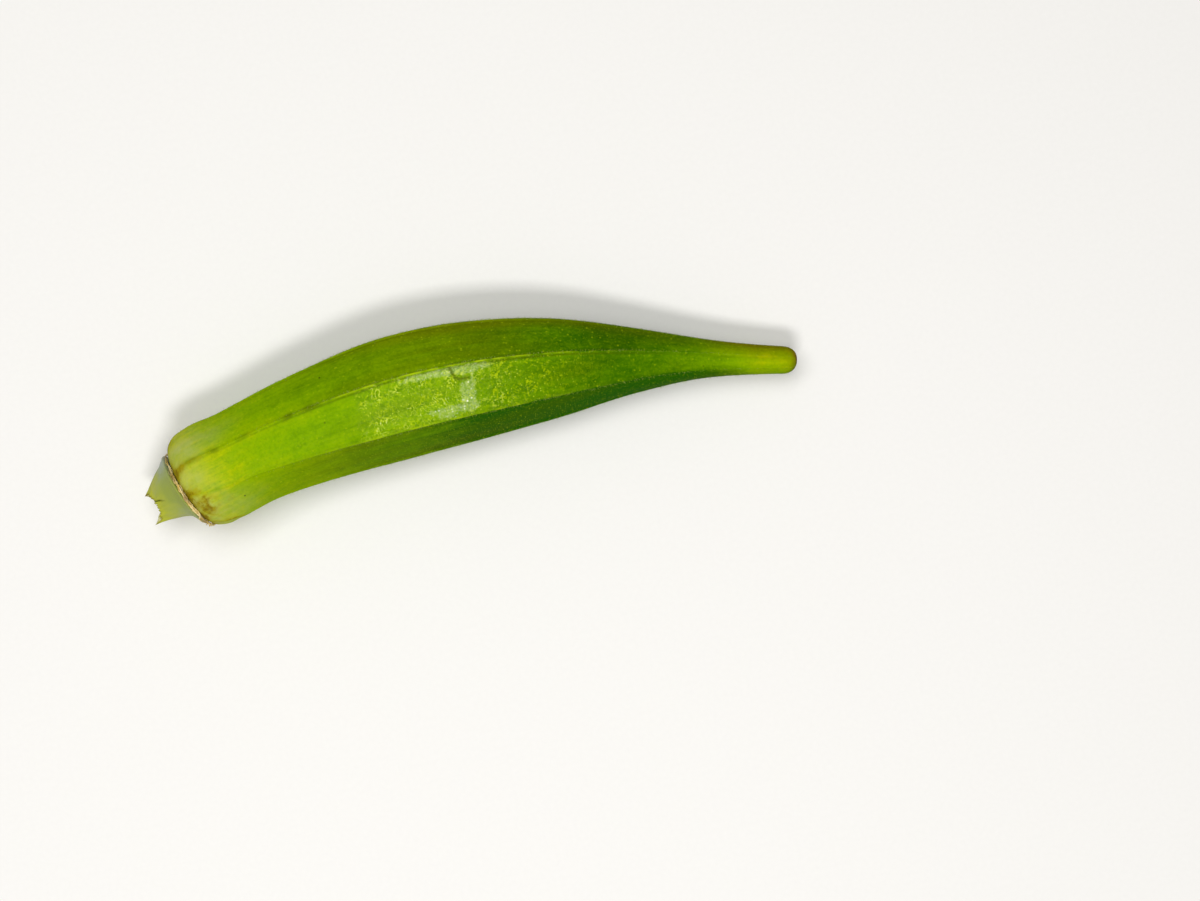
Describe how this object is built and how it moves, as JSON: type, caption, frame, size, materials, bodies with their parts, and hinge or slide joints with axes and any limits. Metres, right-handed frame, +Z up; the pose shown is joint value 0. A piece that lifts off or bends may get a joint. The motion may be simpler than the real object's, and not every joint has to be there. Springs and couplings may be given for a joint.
{
  "type": "okra pod",
  "caption": "Fresh ribbed okra pod with a gentle bend, a slim blunt tip, a corky calyx ring and a short cut stalk, lying on one flat rib face.",
  "frame": {"origin": "on the surface the pod rests on, under the middle of its bounding box", "axes": "+X from the stem end to the tip, +Y towards the outside of the bend, +Z up from the surface it rests on"},
  "size_m": [0.1084, 0.025, 0.0194],
  "materials": {
    "pod_skin": "satin",
    "dried_calyx": "matte",
    "stem_skin": "satin"
  },
  "bodies": {
    "root": {"pod": "pod_skin", "calyx_ring": "dried_calyx", "stem_cap": "stem_skin"}
  },
  "joints": []
}
